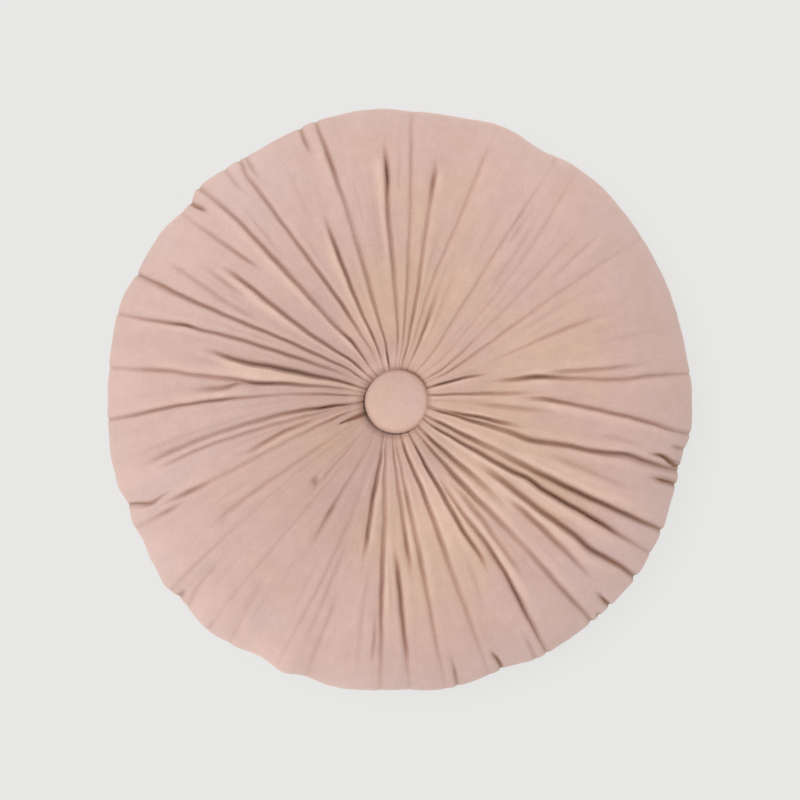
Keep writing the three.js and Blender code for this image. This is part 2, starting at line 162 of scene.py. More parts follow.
# turns, strengths, start, end, breadth, lean
folds = [
    ((1.2, 1, 0.3, -0.5), (3.2, 1.9, 1.8, 1), 24, 95, 1.2, -1),
    ((8, 8.2, 5.1, 4.3), (2, 2.6, 2.3, 2.3), 70, 197, 1, 0),
    ((10.5, 9.5, 7.7, 6.8), (2, 2, 2.2, 1), 106, 168, 1, 1),
    ((15.5, 13, 11.3, 10), (6.4, 2.6, 1.4, 1), 28, 68, 1.2, -1),
    ((18, 20.5, 22, 20.5), (0.4, 0.8, 1.6, 0.8), 62, 148, 1, 0),
    ((25.7, 30.4, 32.8, 33.3), (1.6, 1.1, 0.8, 0.6), 34, 196, 1, 0),
    ((31.9, 37.6, 41.3, 43), (1.8, 0.8, 0.6, 0.7), 28, 165, 1, 0),
    ((40.5, 45.3, 47.8, 51.8), (0.6, 0.7, 0.6, 0.6), 34, 190, 1, 0),
    ((48, 51, 54.6, 54.4), (1, 1, 1.6, 1), 133, 152, 1.1, 0),
    ((52.5, 55.3, 56.3, 56.5), (0.9, 0.8, 0.9, 0.5), 28, 195, 1, 1),
    ((62.5, 65.5, 66, 64), (0.5, 0.7, 0.6, 0.3), 60, 100, 2, 1),
    ((70.5, 70.4, 68.5, 67), (2.1, 1.9, 1.4, 1), 34, 84, 1.2, -1),
    ((76.5, 75, 71.6, 70.2), (0.7, 1.1, 1, 1), 38, 186, 1, 0),
    ((82, 80.8, 81.4, 81.3), (2, 2.3, 1.5, 0.8), 26, 168, 1, -1),
    ((87.5, 86.5, 86.9, 87.8), (1.5, 1.7, 1.2, 1.4), 40, 194, 1, 1),
    ((93, 93, 94.2, 93.2), (1.7, 1.9, 3.2, 0.9), 38, 176, 1.1, 1),
    ((98, 98, 97.5, 97.8), (0.6, 0.6, 0.7, 0.5), 95, 150, 2, -1),
    ((106.3, 106.3, 106, 107.3), (2.5, 2.4, 1.5, 3.8), 25, 197, 1.1, 1),
    ((111, 110.8, 109.8, 110.7), (3.6, 3.6, 3.6, 4), 180, 197, 1.6, 0),
    ((116, 115.2, 113.3, 112), (2.6, 3.4, 5.4, 2), 33, 136, 1, 1),
    ((119.5, 120.5, 121.1, 121), (0.4, 0.4, 0.5, 0.4), 108, 138, 1, 1),
    ((121.8, 122.1, 122.8, 123.2), (2, 2, 2, 3), 184, 196, 1, 0),
    ((123, 123.1, 124.3, 125.2), (1.4, 3.6, 3, 2.8), 36, 197, 1, 0),
    ((125.6, 126, 127, 128), 2, 178, 196, 1.1, 0),
    ((128, 129, 130.4, 129.8), (1.2, 1.2, 1.2, 0.7), 128, 168, 1, 1),
    ((134, 133.4, 132.8, 133.8), (3.4, 2.6, 3.8, 2.7), 34, 200, 1.1, 1),
    ((136.5, 135.7, 135.4, 136.7), 6.2, 185, 197, 1.1, 1),
    ((139, 138.4, 138.2, 140.3), (2, 2, 3, 1.2), 134, 196, 1, -1),
    ((145.2, 146.1, 144.4, 143.5), (4.4, 3.6, 4.2, 2), 30, 152, 1.1, 1),
    ((148.5, 149, 147.6, 146.5), 1.5, 128, 160, 1.2, -1),
    ((151, 152, 152.3, 149.8), (1, 1, 1.3, 1.2), 112, 186, 1, -1),
    ((153.6, 154.2, 155.6, 155.4), (3.4, 3.8, 3.6, 4.6), 28, 200, 0.75, 0),
    ((159.5, 160.2, 161.3, 163.9), (1.4, 4.2, 3.3, 2.6), 42, 202, 0.75, 0),
    ((166.7, 168, 167, 166.5), (6, 7, 3.4, 1), 30, 137, 1.3, 1),
    ((170, 170.7, 170.3, 170), (0.8, 0.8, 0.9, 0.5), 125, 147, 1.3, -1),
    ((173.3, 174.1, 174.6, 174.5), (1.7, 4.4, 2.2, 2.8), 34, 190, 1, -1),
    ((176, 176.6, 178.2, 180.3), (3, 3, 2.8, 1), 101, 142, 1, 0),
    ((179, 179.8, 181.6, 184.7), (2.6, 1.1, 3.4, 3), 30, 201, 0.7, -1),
    ((184, 185.6, 189.8, 193.4), (0.7, 0.7, 0.7, 0.8), 95, 178, 1, -1),
    ((189.2, 188.9, 192, 195.9), (6, 3.2, 2.3, 2.8), 31, 179, 0.9, 0),
    ((192.4, 192.8, 194.5, 198), (1.6, 1.6, 1.9, 1.4), 42, 168, 0.8, -1),
    ((194.5, 197.3, 201.6, 201.8), (1, 2.6, 2, 1), 56, 112, 1.1, 1),
    ((196, 199.5, 202.6, 202.7), (5, 5, 5, 5.6), 172, 201, 1, 1),
    ((198.3, 202.3, 204.4, 204.8), (2.2, 1.1, 1, 0.6), 33, 184, 1.1, -1),
    ((202.5, 205, 206, 206.6), (3, 3, 4.2, 1.6), 160, 198, 1.3, 1),
    ((212.5, 213, 213.8, 216), (0.7, 1, 1.2, 0.7), 52, 148, 1.2, 0),
    ((217, 216.8, 218.5, 220.1), (0.3, 0.4, 0.4, 1.2), 48, 203, 0.9, 0),
    ((219, 218.9, 220.1, 222.2), (3, 3, 3, 6), 193, 204, 1.2, 0),
    ((220.5, 220.6, 221.6, 223.4), (1, 1, 1, 1.3), 160, 202, 1.7, 0),
    ((226, 227.5, 227.3, 227.8), (0.8, 1, 0.6, 0.6), 36, 84, 1, 1),
    ((230.5, 230.5, 230.1, 230.4), (0.3, 0.4, 0.5, 0.4), 52, 200, 1, -1),
    ((234, 233.4, 232.3, 235), 0.9, 146, 196, 2, 1),
    ((239.5, 238.4, 239.8, 240), (0.8, 1.1, 0.9, 0.7), 42, 113, 1.1, 0),
    ((246.8, 248.1, 247.3, 245.3), (0.5, 0.7, 0.8, 0.7), 55, 200, 1, 0),
    ((249.6, 250.6, 249.6, 249), (0.8, 0.8, 0.9, 0.7), 110, 175, 1, 1),
    ((251.1, 252.9, 252.8, 251.4), (0.9, 0.9, 0.9, 1.2), 138, 197, 2, 0),
    ((252.6, 255.7, 258, 258.6), (3.6, 3.4, 2.6, 1), 34, 111, 1.2, 1),
    ((254.8, 258.6, 259.9, 261), 0.8, 120, 186, 1.3, 1),
    ((256.1, 260.5, 263.2, 264.2), (1.6, 1.6, 1.8, 1.8), 148, 184, 1, -1),
    ((256.8, 262.3, 264.4, 266), (1.8, 2, 3.9, 1.3), 30, 201, 1.1, 1),
    ((261.5, 266.5, 269.6, 271.7), (3.6, 3.6, 4.6, 2.6), 106, 188, 1.2, 0),
    ((265, 270.8, 273.8, 274.4), (2.1, 2.3, 2.8, 1), 30, 121, 1.1, 1),
    ((269, 275.1, 277.5, 278.6), (1.6, 2.3, 2.1, 1.1), 30, 198, 1, 1),
    ((272.5, 278.5, 280.2, 281), (3, 3, 3, 4), 180, 201, 1.2, -1),
    ((277.3, 284.3, 286.3, 287.6), (5, 3.2, 1.8, 1), 28, 199, 1.2, 1),
    ((282, 288, 289.2, 289.4), 7, 185, 200, 1.2, -1),
    ((284.8, 290.6, 292, 291), 0.9, 118, 152, 1.4, 0),
    ((288.2, 293.3, 296.3, 295.5), (6, 4.2, 6, 1), 32, 132, 1.2, 0),
    ((289.8, 295, 298, 297.2), (2, 2, 2, 2.4), 180, 197, 1.5, 1),
    ((291.8, 296.8, 300.6, 299.5), (1.6, 2.2, 5, 4), 62, 193, 1, 1),
    ((295, 301.8, 303.8, 304.2), (1.5, 2.4, 2, 1), 72, 148, 1.3, -1),
    ((299, 305.5, 309.2, 310.1), (4, 3.8, 2, 4), 34, 203, 1.6, 1),
    ((302.5, 309.5, 311.6, 312), 6, 196, 203, 1.2, 0),
    ((306, 312.4, 313.6, 313.2), (6.4, 2.6, 1, 1), 31, 100, 1.6, 1),
    ((308.5, 314, 315.2, 314.9), 8, 188, 203, 1, 0),
    ((311, 315.5, 316.8, 316), (2, 3, 4, 1.4), 104, 180, 1.5, 1),
    ((314.5, 319.5, 320.5, 322.2), (2, 3.6, 5.6, 6.6), 76, 203, 1.9, -1),
    ((319, 324.6, 326.7, 327.6), (6, 5.2, 8.4, 4.6), 30, 188, 1.3, -1),
    ((326.7, 329.8, 331.1, 332.6), (6, 2.4, 7, 6), 30, 202, 1.8, 1),
    ((334, 336.8, 338.3, 337.5), (1, 1, 1.2, 1), 112, 172, 1.3, -1),
    ((336.6, 339.2, 341.4, 342.1), 8.5, 182, 199, 1.2, 1),
    ((339.6, 341.4, 343.4, 344.8), (6.4, 3.4, 4.8, 5.6), 28, 195, 1.4, 0),
    ((342, 345, 345.8, 346.3), (5, 8, 2, 2), 36, 90, 1, 0),
    ((345, 347, 347.3, 346.7), 9.5, 179, 198, 1.2, 1),
    ((349, 349.4, 349, 347.9), 1, 138, 174, 1.3, -1),
    ((350.6, 351.3, 350.9, 349.3), 4, 189, 198, 1, 0),
    ((353, 353.7, 353.4, 350.6), (1.4, 1.8, 1.4, 1), 58, 105, 1.3, 1),
    ((357.3, 359.6, 356.3, 352.4), (3, 3.7, 3.3, 3.6), 92, 201, 1, -1),
]

# Where a fold kinks or deepens: its turn at reach 125, the kink's reach and length, the shift of the
# fold's turn and the gain of its strength
kinks = [
    (5.1, 95, 11, 0.9, 3.6), (5.1, 150, 16, -0.7, 0), (11.3, 45, 8, 0.6, 0), (22, 100, 12, 0.4, 0),
    (32.8, 43, 5, 0, 0.6), (32.8, 90, 12, 0.5, 0.2), (56.3, 145, 8, 0, 0.6), (56.3, 196, 4, 0.3, 1.2),
    (68.5, 52, 8, 0, 1.3), (81.4, 56, 6, 0, 0.8), (81.4, 150, 10, 0, 2.4), (94.2, 153, 12, 0, 3.6),
    (106, 29, 5, 0, 2.2), (106, 166, 10, 0, 0.8), (113.3, 48, 6, 0, 1.2), (124.3, 72, 6, 0, 0.8),
    (124.3, 196, 8, -0.7, 0.8), (132.8, 50, 6, -1.3, 3), (132.8, 162, 14, -0.4, 0),
    (132.8, 199, 8, 0.5, 1.4), (135.4, 196, 7, 0.8, 0), (144.4, 42, 6, 0, 1.5), (144.4, 136, 6, 0, 0.9),
    (161.3, 150, 8, -0.4, 2.6), (167, 66, 9, 0, 0.6), (167, 105, 14, 0.7, 0.8),
    (174.6, 92, 10, 0.9, 1.8), (174.6, 155, 14, -0.6, 0), (178.2, 103, 9, -2, 0.8),
    (181.6, 117, 8, 0, 0.8), (192, 44, 7, 0, 2.5), (201.6, 100, 9, 0.5, 0), (202.6, 179, 7, 0.8, 0),
    (202.6, 200, 9, -0.9, 0), (206, 171, 6, 0, 1.2), (204.4, 41, 5, 0, 0.6), (204.4, 152, 12, 0, 2.4),
    (218.5, 201, 5, 0, 1.6), (221.6, 198, 10, 1.2, 0.5), (227.3, 80, 5, 0, 1.2),
    (230.1, 195, 5, 0, 1.4), (239.8, 83, 5, 0, 1.6), (239.8, 95, 6, 0, 0.6), (258, 60, 8, 0, 1.4),
    (258, 89, 6, 0, 1), (273.8, 95, 9, 0, 1.2), (277.5, 64, 6, 0, 0.9), (277.5, 108, 10, 0, 0.9),
    (286.3, 57, 6, 0.7, 0.4), (286.3, 98, 8, 0, 0.7), (289.2, 196, 9, 0.9, 0),
    (296.3, 47, 7, -0.8, 0.6), (296.3, 116, 8, 0.4, 0.8), (300.6, 108, 8, 0.4, 0),
    (300.6, 155, 14, 0, 0.9), (303.8, 96, 9, 0.5, 0.5), (309.2, 62, 8, 0, 0.9), (309.2, 201, 5, 0, 1.4),
    (320.5, 162, 12, -0.6, 0.3), (326.7, 98, 9, 0.9, 0.4), (326.7, 160, 13, 0, 2),
    (331.1, 52, 7, 0, 0.9), (331.1, 140, 14, 0, 0.8), (343.4, 52, 8, 0, 0.5), (343.4, 92, 14, -1.3, 1),
    (343.4, 158, 16, 1, 0.3), (345.8, 54, 9, 0.8, 0.4), (347.3, 183, 6, 0.4, 0),
    (347.3, 197, 9, -1.1, 0), (356.3, 100, 8, 0.5, 0.8),
]

# Short creases that run across the folds: turn and reach of both ends, and strength
crossCreases = [
    (208, 25, 204.6, 46, 7), (224.8, 80.8, 228.4, 84.2, 4), (215.5, 147, 213.5, 140, 1.4),
    (212, 141, 213.4, 134, 1.2), (178.6, 130, 175.6, 106, 1.5),
]

# Where the cloth is a warmer tan, or below 0 cooler: turn, reach, size and amount
tanPatches = [
    (95, 60, 38, 1), (80, 130, 40, 0.5), (98, 168, 16, 0.5), (19, 110, 38, 0.8), (330, 60, 45, 1),
    (326, 118, 30, 0.8), (290, 116, 33, 0.9), (266, 95, 34, 0.8), (272, 150, 34, 0.7),
    (212, 62, 24, 0.5), (206, 132, 16, 0.6), (190, 30, 22, 0.5), (318, 188, 32, -1),
    (342, 190, 18, -0.6), (67, 118, 28, 0.4), (78, 180, 20, 0.7), (52, 182, 24, 0.6),
    (141, 124, 34, -0.5), (39, 114, 18, -0.4), (190, 132, 24, -0.4), (62, 72, 24, 0.6),
    (92, 112, 18, -0.5), (128, 186, 26, -0.5), (150, 36, 22, -0.5), (201, 184, 18, -0.4),
    (330, 152, 18, 0.7), (287, 162, 16, 0.4),
]

# Painted light and shade: where the cloth is lighter, or below 0 darker: turn, reach, size and amount
paintedLightAndShade = [
    (300, 44, 20, -0.15), (240, 32, 18, -0.09), (180, 30, 14, -0.08), (0, 50, 16, -0.06),
    (60, 32, 16, 0.06), (123, 50, 18, 0.11), (274, 50, 17, 0.09), (240, 85, 38, -0.085),
    (338, 98, 32, -0.065), (60, 185, 50, 0.07), (255, 185, 36, 0.04), (125, 205, 22, 0.09),
    (140, 205, 20, 0.08), (178, 207, 24, 0.07), (197, 207, 24, 0.12), (212, 207, 24, 0.14),
    (227, 209, 24, 0.14), (242, 209, 24, 0.22), (260, 208, 22, 0.11), (348, 204, 18, -0.11),
    (288, 80, 22, 0.07), (10, 52, 16, -0.03),
]


def ease(low, high, value):
    share = np.clip((np.asarray(value, float) - low) / (high - low), 0, 1)
    return share * share * (3 - 2 * share)


def mix(a, b, share):
    return a + (b - a) * share


def between(here, after, share):
    # the turns of a fold that runs between two others
    wrapped = np.array(after[0], float) + (360 if after[0][2] < here[0][2] else 0)
    return tuple(mix(np.array(here[0], float), wrapped, np.asarray(share)))


def addGathers(rows):
    # short gathers between the folds that stand far apart at the button
    full = []
    for here, after in zip(rows, rows[1:] + rows[:1]):
        full.append(here)
        extra = int(((after[0][0] - here[0][0]) % 360) / cover["gatherTurn"])
        for k in range(extra):
            turns = between(here, after, (k + 1) / (extra + 1))
            end = randomDraw.uniform(*cover["gatherEnds"])
            strength = randomDraw.uniform(*cover["gatherStrength"])
            full.append((turns, strength, cover["gatherStart"], end, 1, 0))
    return full


def addFaintFolds(rows):
    # faint creases in the wide smooth stretches, running a little across them
    full = []
    most, skew = cover["faintDrift"], np.array(cover["faintSkew"])
    for here, after in zip(rows, rows[1:] + rows[:1]):
        full.append(here)
        gap = (after[0][2] - here[0][2]) % 360
        extra = int(gap / cover["faintGap"])
        for k in range(extra):
            middle = (k + 1) / (extra + 1)
            drift = randomDraw.uniform(-most, most)
            turns = between(here, after, middle + drift * skew)
            start = randomDraw.uniform(*cover["faintStarts"])
            end = min(start + randomDraw.uniform(*cover["faintLengths"]), cover["faintLimit"])
            strength = randomDraw.uniform(*cover["faintStrength"])
            full.append((turns, strength, start, end, cover["faintBreadth"], 0))
    return full


def rimReach(turn):
    turns = np.array([row[0] for row in rim] + [360.0])
    reaches = np.array([row[1] for row in rim] + [rim[0][1]], float)
    at = np.mod(turn, 360)
    i = np.clip(np.searchsorted(turns, at, side="right") - 1, 0, len(rim) - 1)
    return mix(reaches[i], reaches[i + 1], ease(0, 1, (at - turns[i]) / (turns[i + 1] - turns[i])))


def seatReach(turn):
    dx, dy = np.array(cover["seatShift"]) - cover["gatherFromButton"]
    along = dx * np.cos(np.radians(turn)) + dy * np.sin(np.radians(turn))
    slant = 0.5 + 0.5 * np.cos(np.radians(2 * (turn - cover["seatSlant"])))
    radius = cover["seatRadius"] + cover["seatSlack"] * slant
    return along + np.sqrt(radius ** 2 - (dx * dx + dy * dy - along ** 2))


def sectionRings(fine):
    # rings of the plain section: share out, height, direction along it, and if it is the back
    stations = np.array(faceSection + backSection, float)
    padded = np.vstack([2 * stations[0] - stations[1], stations, 2 * stations[-1] - stations[-2]])
    rows, isBack = [], []
    for i in range(len(stations) - 1):
        p0, p1, p2, p3 = padded[i:i + 4]
        back = i >= len(faceSection)
        count = cover["backRings" if back else "faceRings"] * fine
        for t in np.arange(count) / count:
            rows.append(0.5 * ((2 * p1) + (p2 - p0) * t + (2 * p0 - 5 * p1 + 4 * p2 - p3) * t ** 2
                               + (3 * p1 - p0 - 3 * p2 + p3) * t ** 3))
            isBack.append(back)
    rows = np.array(rows + [stations[-1]])
    rows[:, 0] = np.clip(rows[:, 0], 0, 1)
    slope = np.gradient(rows, axis=0) * (cover["nominalRim"] - cover["seatRadius"], 1)
    slope /= np.linalg.norm(slope, axis=1)[:, None]
    return rows[:, 0], rows[:, 1], slope, np.array(isBack + [True])


def foldTurns(reach):
    # turn of each fold at each ring, straying a little from the table's line
    table = np.array([row[0] for row in folds])
    lines = np.array([np.interp(np.log(reach), np.log(foldReaches), row) for row in table])
    for _ in range(cover["lineSmoothing"]):
        lines[:, 1:-1] = (lines[:, :-2] + 2 * lines[:, 1:-1] + lines[:, 2:]) / 4
    for turn, at, size, shift, _ in kinks:
        line = lines[np.argmin(np.abs(table[:, 2] - turn))]
        line += shift * np.exp(-((reach - at) / size) ** 2)
    waves = cover["wanderWaves"]
    phases = randomDraw.uniform(0, 2 * math.pi, (len(folds), len(waves)))
    pullX, pullY = cover["buttonPull"]
    for line, phase in zip(lines, phases):
        stray = sum(np.sin(reach / wave + at) for at, wave in zip(phase, waves))
        line += np.degrees(cover["wander"] / len(waves) * stray / reach)
        aside = pullY * np.cos(np.radians(line)) - pullX * np.sin(np.radians(line))
        line += np.degrees((1 - ease(*cover["pullReaches"], reach)) * aside / reach)
    return lines


def crowded(part):
    # columns stand closer together beside a fold
    if part < 0.5:
        return 0.5 * (2 * part) ** cover["crowding"]
    return 1 - 0.5 * (2 - 2 * part) ** cover["crowding"]


def columnShares(fine):
    # for each column: the fold before it and its share of the way to the next
    middle = [row[0][2] for row in folds]
    owner, share = [], []
    for i, turn in enumerate(middle):
        gap = (middle[(i + 1) % len(folds)] - turn) % 360
        steps = max(2, round(gap / cover["coarseColumn"])) * fine
        owner += [i] * steps
        share += [crowded(k / steps) for k in range(steps)]
    return np.array(owner), np.array(share)


def foldStrengths(reach, isBack):
    # strength of each fold at each ring, and the share of its depth that is left at the rim
    rows, taut = [], []
    for turns, strengths, start, end, _, _ in folds:
        strengths = np.broadcast_to(strengths, len(foldReaches))
        along = np.interp(reach, foldReaches, strengths)
        for turn, at, size, _, gain in kinks:
            if turn == turns[2]:
                along = along + gain * np.exp(-((reach - at) / size) ** 2)
        overRim = ease(*cover["overRim"], end)
        fade = cover["fadeOut"][0] + cover["fadeOut"][1] * np.interp(end, foldReaches, strengths)
        fadeIn = min(fade, start * cover["fadeIn"][0], (end - start) * cover["fadeIn"][1]) / 2
        inner = cover["innerShare"] if start < cover["innerBelow"] else 0
        begins = mix(inner, 1, ease(start - fadeIn, start + fadeIn, reach))
        ends = 1 - ease(end - fade, end + cover["fadePast"], reach)
        onFace = along * begins * np.maximum(ends, overRim)
        under = overRim * strengths[-1] * ease(*cover["footReaches"], reach)
        backEnd = randomDraw.uniform(*cover["backGathers"])
        atButton = randomDraw.uniform(*cover["backStrengths"]) * (1 - ease(backEnd / 2, backEnd, reach))
        rows.append(np.where(isBack, np.maximum(under, atButton), onFace))
        if start < cover["nickStarts"]:
            taut.append(mix(1, cover["rimShare"], ease(*cover["rimReaches"], reach)))
        else:
            left = cover["nickShare"]
            taut.append(mix(left, left / 2, ease(*cover["nickReaches"], reach)))
    return np.array(rows), np.array(taut)


def foldProfile(side, narrow, valley, lean):
    # how deep and how proud the cloth is at a distance to the side of a fold, and how dark the painted
    # shade of its crease is there
    away = np.abs(side)
    isLow, isProud = side * lean < 0, side * lean > 0
    slack = np.select([isLow, isProud], cover["leanSlack"], 1.0)
    dark = np.exp(-(away / narrow) ** cover["slitEdge"])
    sink = cover["slitShare"] * dark + (1 - cover["slitShare"]) * np.exp(-away / (valley * slack))
    beside = away / (valley * cover["lipWidth"])
    proud = np.where(isLow, cover["lowLip"], 1.0 if lean else cover["evenLip"])
    return sink, dark, cover["lipShare"] * proud * beside * np.exp(1 - beside)


def crossDark(bearing, reach):
    # how deep the short creases make each point and how dark their painted shade is, thinner towards
    # their second end
    x, y = reach * np.cos(bearing), reach * np.sin(bearing)
    total = np.zeros_like(reach)
    for turnA, reachA, turnB, reachB, strength in crossCreases:
        a, b = (np.array([at * math.cos(math.radians(t)), at * math.sin(math.radians(t))])
                for t, at in ((turnA, reachA), (turnB, reachB)))
        way = b - a
        share = np.clip(((x - a[0]) * way[0] + (y - a[1]) * way[1]) / (way @ way), 0, 1)
        away = np.hypot(x - a[0] - share * way[0], y - a[1] - share * way[1])
        thin = cover["crossWidth"] * (1.1 - share)
        total = np.maximum(total, strength * np.exp(-(away / thin) ** 2))
    return total


def puffRise(lines, strengths, reach, owner, share):
    # how the cloth swells between two folds, and passes over the lines that are smooth there
    following = (owner + 1) % len(folds)
    gap = np.radians((np.roll(lines, -1, axis=0) - lines + 180) % 360 - 180) * reach
    gap = (gap + np.roll(gap, 1, axis=0)) / 2
    smooth = 1 - np.clip(strengths / cover["fullPuff"], 0, 1)
    width = mix(gap[owner].T, gap[following].T, share)
    over = mix(smooth[owner].T, 0, ease(0, 1, share)) + mix(0, smooth[following].T, ease(0, 1, share))
    puff = mix(*cover["puff"], ease(*cover["puffReaches"], reach))[:, None]
    return np.minimum(cover["puffLimit"], width * puff) * mix(4 * share * (1 - share), 1, over)


def besideButton(turn, reach, out, isBack):
    # how much the cloth rises at the face button's edge, and how dark it is in its shade
    across = np.sin(np.radians(turn - cover["seatSlant"])) ** 2
    middle, width = cover["hugPlace"]
    near = np.exp(-((out - middle) / width) ** 2) * ease(0, cover["seatEnds"] / 2, out) * ~isBack
    farEnd = 0.5 - 0.5 * np.cos(np.radians(turn - cover["seatSlant"]))
    edge = np.exp(-((reach - seatReach(turn) - cover["shadeFrom"]) / cover["shadeWidth"]) ** 2)
    shade = mix(*cover["seatShade"], farEnd) * (1 - across) * edge
    return mix(*cover["hug"], across) * near[:, None], shade


def patchSum(patches, bearing, reach):
    # the sum of a table's soft round patches at each point, from -1 to 1
    x, y = reach * np.cos(bearing), reach * np.sin(bearing)
    total = np.zeros_like(reach)
    for patchTurn, patchReach, size, amount in patches:
        px, py = (patchReach * f(math.radians(patchTurn)) for f in (math.cos, math.sin))
        total += amount * np.exp(-((x - px) ** 2 + (y - py) ** 2) / size ** 2)
    return np.clip(total, -1, 1)


def foldRelief(turn, reach, lines, strengths, taut, isBack):
    # how deep and how proud the folds and the short creases make each point, and how dark their painted
    # crease shade is
    valley = np.clip(cover["valleyWidth"] * reach, *cover["valleyLimits"])
    narrow = np.clip(cover["slitWidth"] * reach, *cover["slitLimits"])
    deep, proud, crease = np.zeros((3, *turn.shape))
    for fold, line, strength, left in zip(folds, lines, strengths, taut):
        breadth, lean = fold[4:]
        side = np.radians((turn - line[:, None] + 180) % 360 - 180) * reach
        strength = strength[:, None]
        depth = strength * left[:, None] * cover["foldStep"]
        width = math.sqrt(breadth)
        sink, dark, lip = foldProfile(side, narrow * width, valley * width, lean)
        deep += (depth * sink) ** 3
        proud += (depth * lip) ** 3
        crease = np.maximum(crease, strength * cover["darkStep"] * dark)
    across = crossDark(np.radians(turn), reach) * ~isBack[:, None]
    deep += (across * cover["slitShare"]) ** 3
    crease = np.maximum(crease, across * cover["darkStep"])
    return deep ** (1 / 3), proud ** (1 / 3), crease


def coverPoints(fine):
    # rings by columns of points, in millimetres, and what the finish reads at each of them
    out, up, slope, isBack = sectionRings(fine)
    nominal = mix(cover["seatRadius"], cover["nominalRim"], out)
    lines = foldTurns(nominal)
    owner, share = columnShares(fine)
    following = (owner + 1) % len(folds)
    start = lines[owner].T
    span = lines[following].T + np.where(following == 0, 360.0, 0.0) - start
    turn = start + span * share
    reach = mix(seatReach(turn), rimReach(turn), out[:, None])

    strengths, taut = foldStrengths(nominal, isBack)
    deep, proud, crease = foldRelief(turn, reach, lines, strengths, taut, isBack)
    rise = puffRise(lines, strengths, nominal, owner, share)
    rise *= mix(1, cover["rimShare"], ease(*cover["rimReaches"], reach))
    shallow = mix(cover["hubShare"], 1, ease(*cover["hubReaches"], reach))
    stand = (rise + (proud - deep) * shallow) * ease(0, cover["seatEnds"], out)[:, None]
    hug, shade = besideButton(turn, reach, out, isBack)
    crease = np.maximum(crease, shade)

    pointReach = reach - slope[:, 1:] * stand
    height = np.maximum(up[:, None] + slope[:, :1] * stand + hug, 0)
    centre = buttonAt + cover["gatherFromButton"]
    bearing = np.radians(turn)
    points = np.stack([centre[0] + pointReach * np.cos(bearing),
                       centre[1] + pointReach * np.sin(bearing), height], axis=-1)

    # fades the painted highlight, the painted light and shade and the tan patches out under the rim
    faceShare = np.where(isBack, ease(*cover["wornTo"], out), 1)[:, None]
    lowest, more = cover["ridgeRise"]
    # painted highlight where the cloth stands proud beside a fold
    ridgeHighlight = np.clip((proud - lowest - deep * 0.5) / more, 0, 1)
    ridgeHighlight *= 1 - ease(*cover["ridgeReaches"], reach) * cover["ridgeLoss"]
    loose = ease(*cover["looseReaches"], reach) * ease(*cover["looseHeights"], height)
    cool = cover["coolRim"] * ease(*cover["coolReaches"], reach)
    finish = {
        "crease": crease,
        "ridgeHighlight": ridgeHighlight * faceShare,
        "loose": loose * (1 - np.clip(crease * 2, 0, 1)),
        "tan": (patchSum(tanPatches, bearing, reach) - cool) * faceShare,
        "paintedLightAndShade": patchSum(paintedLightAndShade, bearing, reach) * faceShare,
    }
    return points, finish, np.stack([np.cos(bearing), np.sin(bearing), reach / 100], axis=-1)


def placeObject(name, data):
    thing = bpy.data.objects.new(name, data)
    bpy.context.scene.collection.objects.link(thing)
    return thing


def closedGrid(name, points):
    # a mesh of rings by columns, closed by a point under each button
    rings, columns = points.shape[:2]
    seats = np.array([[*buttonAt, points[0, 0, 2]], [*buttonAt, points[-1, 0, 2]]])
    vertices = np.vstack([points.reshape(-1, 3), seats]) / metre
    here = np.arange(columns)
    after = (here + 1) % columns
    faces = []
    for i in range(rings - 1):
        a, b = i * columns, (i + 1) * columns
        faces += np.stack([a + here, b + here, b + after, a + after], axis=1).tolist()
    last = (rings - 1) * columns
    faces += [[rings * columns, int(j), int(k)] for j, k in zip(here, after)]
    faces += [[rings * columns + 1, int(last + k), int(last + j)] for j, k in zip(here, after)]
    mesh = bpy.data.meshes.new(name)
    mesh.from_pydata(vertices.tolist(), [], faces)
    mesh.polygons.foreach_set("use_smooth", [True] * len(faces))
    mesh.update()
    return mesh


def addAttribute(mesh, name, values):
    isVector = values.ndim == 3
    layer = mesh.attributes.new(name, "FLOAT_VECTOR" if isVector else "FLOAT", "POINT")
    width = 3 if isVector else 1
    full = np.zeros(len(mesh.vertices) * width, np.float32)
    full[:values.size] = values.ravel()
    layer.data.foreach_set("vector" if isVector else "value", full)


drape = {
    "pressure": 4.0,
    "frames": 20,
    "cap": 5.0,            # the furthest that the draping may move a point
    "heldBelow": 26.0,     # inside this reach the cloth is held by the button
    "heldHeight": 0.01,    # and below this height by the floor
    "creaseHold": 3.0,     # how firmly a crease holds it, for how dark its painted shade is
    "quality": 5,
    "mass": 0.25,
    "tension": 20.0,
    "shear": 8.0,
    "bending": 0.6,
    "pinStiffness": 2.0,
}


